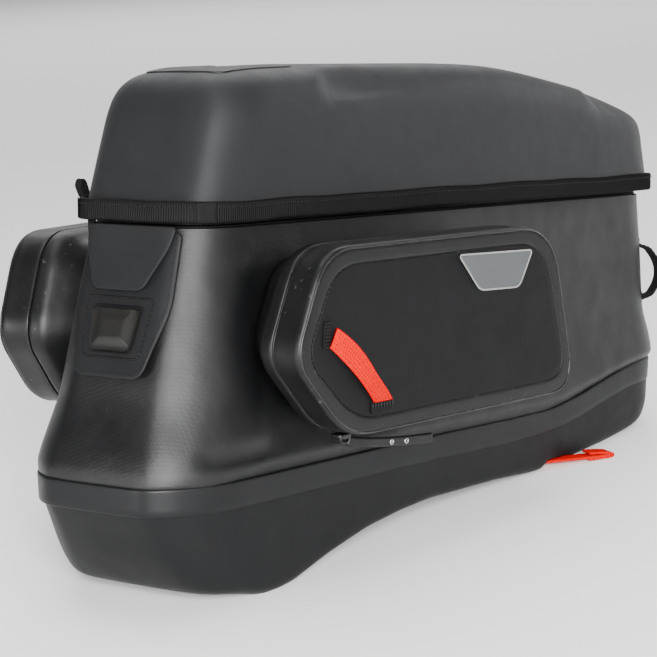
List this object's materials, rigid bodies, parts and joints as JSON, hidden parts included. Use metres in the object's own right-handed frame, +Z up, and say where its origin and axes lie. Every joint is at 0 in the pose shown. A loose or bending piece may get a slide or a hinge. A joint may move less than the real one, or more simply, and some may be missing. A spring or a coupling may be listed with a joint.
{
  "type": "motorcycle tank bag",
  "caption": "Tapered motorcycle tank bag with a moulded zipped lid, coated body on a moulded base, zipped side pockets and a locking ring under it.",
  "frame": {"origin": "centre of the bag's box on the surface it stands on", "axes": "+X towards the front (the wide, handlebar end), +Y to the bag's left, +Z up; the bag stands on its base, leaning 5.7 degrees forward"},
  "size_m": [0.448, 0.2392, 0.2367],
  "materials": {
    "lid_fabric": "woven laminate over moulded foam, matte",
    "net": "fine knitted net",
    "webbing": "ribbed woven binding and webbing, matte",
    "tarpaulin": "coated tarpaulin with a fine grain, semi-gloss",
    "panel_fabric": "close-woven laminate, matte",
    "band_plastic": "welded band, satin",
    "base_plastic": "moulded, fine satin texture",
    "hardware_plastic": "moulded hardware, satin",
    "patch_rubber": "smooth, matte",
    "badge_rubber": "smooth, satin",
    "pad_rubber": "moulded, matte",
    "red_webbing": "ribbed red webbing",
    "reflector": "retro-reflective film, fine texture",
    "steel": "plain zinc-plated screw, satin"
  },
  "bodies": {
    "body": {"base_shell": "base_plastic", "base_board": "hardware_plastic", "weld_band": "band_plastic", "body_wall": "tarpaulin", "zip_tape_body": "webbing", "lid_hinge": "webbing", "rear_patch": "patch_rubber", "badge_plate": "badge_rubber", "ring_adapter": "hardware_plastic", "ring_screw_1": "steel", "ring_screw_2": "steel", "ring_screw_3": "steel", "ring_screw_4": "steel", "ring_nut_1": "steel", "ring_nut_2": "steel", "ring_nut_3": "steel", "ring_nut_4": "steel", "pocket_back_left": "tarpaulin", "pocket_tape_back_left": "webbing", "corner_loop_left": "webbing", "handle_anchor_left": "webbing", "pocket_back_right": "tarpaulin", "pocket_tape_back_right": "webbing", "corner_loop_right": "webbing", "handle_anchor_right": "webbing"},
    "lid": {"lid_shell": "lid_fabric", "lid_binding": "webbing", "zip_tape_lid": "webbing", "lid_top_pad": "pad_rubber", "lid_mesh_pocket": "net"},
    "flap": {"rear_flap": "lid_fabric"},
    "main_slider": {"main_zip_slider": "hardware_plastic"},
    "main_pull": {"main_zip_pull": "pad_rubber"},
    "latch": {"ring_latch": "hardware_plastic", "release_tab": "red_webbing"},
    "handle": {"handle_strap": "webbing", "handle_grip": "pad_rubber"},
    "pocket_left": {"pocket_shell_left": "tarpaulin", "pocket_tape_front_left": "webbing", "pocket_panel_left": "panel_fabric", "pocket_strap_left": "red_webbing", "pocket_reflector_left": "reflector"},
    "pocket_slider_left": {"pocket_slider_left": "hardware_plastic"},
    "pocket_pull_left": {"pocket_pull_left": "pad_rubber"},
    "pocket_right": {"pocket_shell_right": "tarpaulin", "pocket_tape_front_right": "webbing", "pocket_panel_right": "panel_fabric", "pocket_strap_right": "red_webbing", "pocket_reflector_right": "reflector"},
    "pocket_slider_right": {"pocket_slider_right": "hardware_plastic"},
    "pocket_pull_right": {"pocket_pull_right": "pad_rubber"}
  },
  "joints": [
    {"name": "lid_swing", "type": "hinge", "parent": "body", "child": "lid", "pos_m": [0.20853, 0, 0.13279], "axis": [0, 1, 0], "range_deg": [0, 105]},
    {"name": "flap_swing", "type": "hinge", "parent": "lid", "child": "flap", "pos_m": [-0.17567, 0, 0.17285], "axis": [0, 1, 0], "range_deg": [0, 80]},
    {"name": "main_zip_run", "type": "slide", "parent": "body", "child": "main_slider", "axis": [0.9791, 0.1781, -0.0977], "range_m": [0, 0.27]},
    {"name": "main_pull_swing", "type": "hinge", "parent": "main_slider", "child": "main_pull", "pos_m": [-0.15296, 0.04635, 0.16299], "axis": [-0.1772, 0.984, 0.0177], "range_deg": [-40, 60]},
    {"name": "latch_pull", "type": "slide", "parent": "body", "child": "latch", "axis": [0.7733, -0.6293, -0.0772], "range_m": [0, 0.006], "stiffness_N_per_m": 300, "springref_m": -0.002},
    {"name": "handle_swing", "type": "hinge", "parent": "body", "child": "handle", "pos_m": [0.20276, 0, 0.09311], "axis": [0, 1, 0], "range_deg": [-20, 20]},
    {"name": "pocket_swing_left", "type": "hinge", "parent": "body", "child": "pocket_left", "pos_m": [-0.07627, 0.0848, 0.06525], "axis": [-0.9809, -0.168, 0.0979], "range_deg": [0, 60]},
    {"name": "pocket_zip_run_left", "type": "slide", "parent": "body", "child": "pocket_slider_left", "axis": [-0.9809, -0.168, 0.0979], "range_m": [0, 0.012]},
    {"name": "pocket_pull_swing_left", "type": "hinge", "parent": "pocket_slider_left", "child": "pocket_pull_left", "pos_m": [-0.12267, 0.073, 0.06273], "axis": [-0.1671, 0.9858, 0.0167], "range_deg": [0, 64]},
    {"name": "pocket_swing_right", "type": "hinge", "parent": "body", "child": "pocket_right", "pos_m": [-0.07627, -0.0848, 0.06525], "axis": [0.9809, -0.168, -0.0979], "range_deg": [0, 60]},
    {"name": "pocket_zip_run_right", "type": "slide", "parent": "body", "child": "pocket_slider_right", "axis": [-0.9809, 0.168, 0.0979], "range_m": [0, 0.012]},
    {"name": "pocket_pull_swing_right", "type": "hinge", "parent": "pocket_slider_right", "child": "pocket_pull_right", "pos_m": [-0.12267, -0.073, 0.06273], "axis": [0.1671, 0.9858, -0.0167], "range_deg": [0, 64]}
  ]
}
